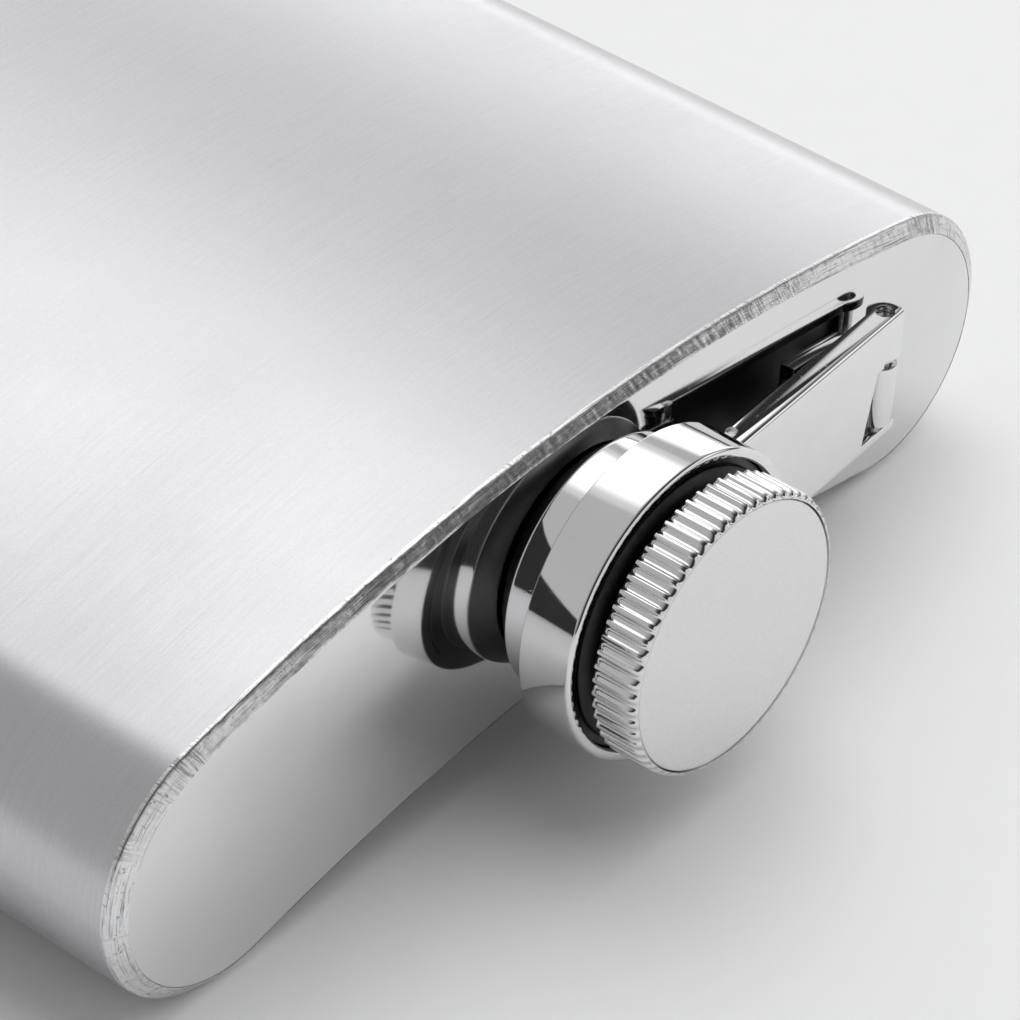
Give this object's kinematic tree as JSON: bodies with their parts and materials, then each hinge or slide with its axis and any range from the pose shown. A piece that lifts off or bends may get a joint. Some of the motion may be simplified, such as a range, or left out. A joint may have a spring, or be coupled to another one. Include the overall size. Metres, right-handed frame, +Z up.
{
  "type": "hip flask",
  "caption": "Curved steel hip flask with ground welds, mirror end plates and a knurled screw cap held by a collar on a swinging arm.",
  "frame": {"origin": "on the surface the flask lies on, below the middle of the whole flask with its cap", "axes": "+Z up, square to the crowned front; +X across the width towards the hinge; -Y along the flask and out of the mouth"},
  "size_m": [0.0944, 0.1344, 0.0268],
  "materials": {
    "brushed_body": "fine brushing across the width, satin",
    "polished_plate": "mirror polished",
    "weld_metal": "ground weld, scratched and pitted",
    "turned_steel": "machined, half bright",
    "bright_chrome": "bright plated",
    "knurled_chrome": "bright plated, straight knurl",
    "satin_face": "fine satin",
    "black_plastic": "moulded, semi gloss",
    "seal_rubber": "soft translucent silicone, matt"
  },
  "bodies": {
    "flask": {"body_wrap": "brushed_body", "side_seam_weld": "weld_metal", "top_weld_bead": "weld_metal", "base_weld_bead": "weld_metal", "top_plate": "polished_plate", "base_plate": "polished_plate", "neck_tube": "turned_steel", "neck_braze_ring": "weld_metal", "hinge_bracket": "polished_plate", "bracket_plug_welds": "weld_metal", "hinge_pin": "turned_steel"},
    "arm": {"arm_link": "bright_chrome", "collar_pin": "turned_steel"},
    "collar": {"collar_lug": "bright_chrome", "collar_band": "bright_chrome", "collar_sleeve": "bright_chrome", "collar_bush": "black_plastic", "friction_washer": "turned_steel"},
    "cap": {"cap_shell": "knurled_chrome", "cap_face_disc": "satin_face", "cap_liner": "black_plastic", "cap_gasket": "seal_rubber", "cap_retaining_ring": "turned_steel"}
  },
  "joints": [
    {"name": "arm_swing", "type": "hinge", "parent": "flask", "child": "arm", "pos_m": [0.0321, -0.0549, 0.0125], "axis": [0.0715, 0, 0.9974], "range_deg": [0, 125]},
    {"name": "collar_tilt", "type": "hinge", "parent": "arm", "child": "collar", "pos_m": [0.01259, -0.05622, 0.0139], "axis": [0.0715, 0, 0.9974], "range_deg": [-32, 0]},
    {"name": "cap_turn", "type": "hinge", "parent": "collar", "child": "cap", "pos_m": [0, -0.061, 0.0148], "axis": [0, -1, 0], "continuous": true}
  ],
  "couplings": [
    {"joint": "collar_tilt", "follows": "arm_swing", "ratio": -0.25}
  ]
}
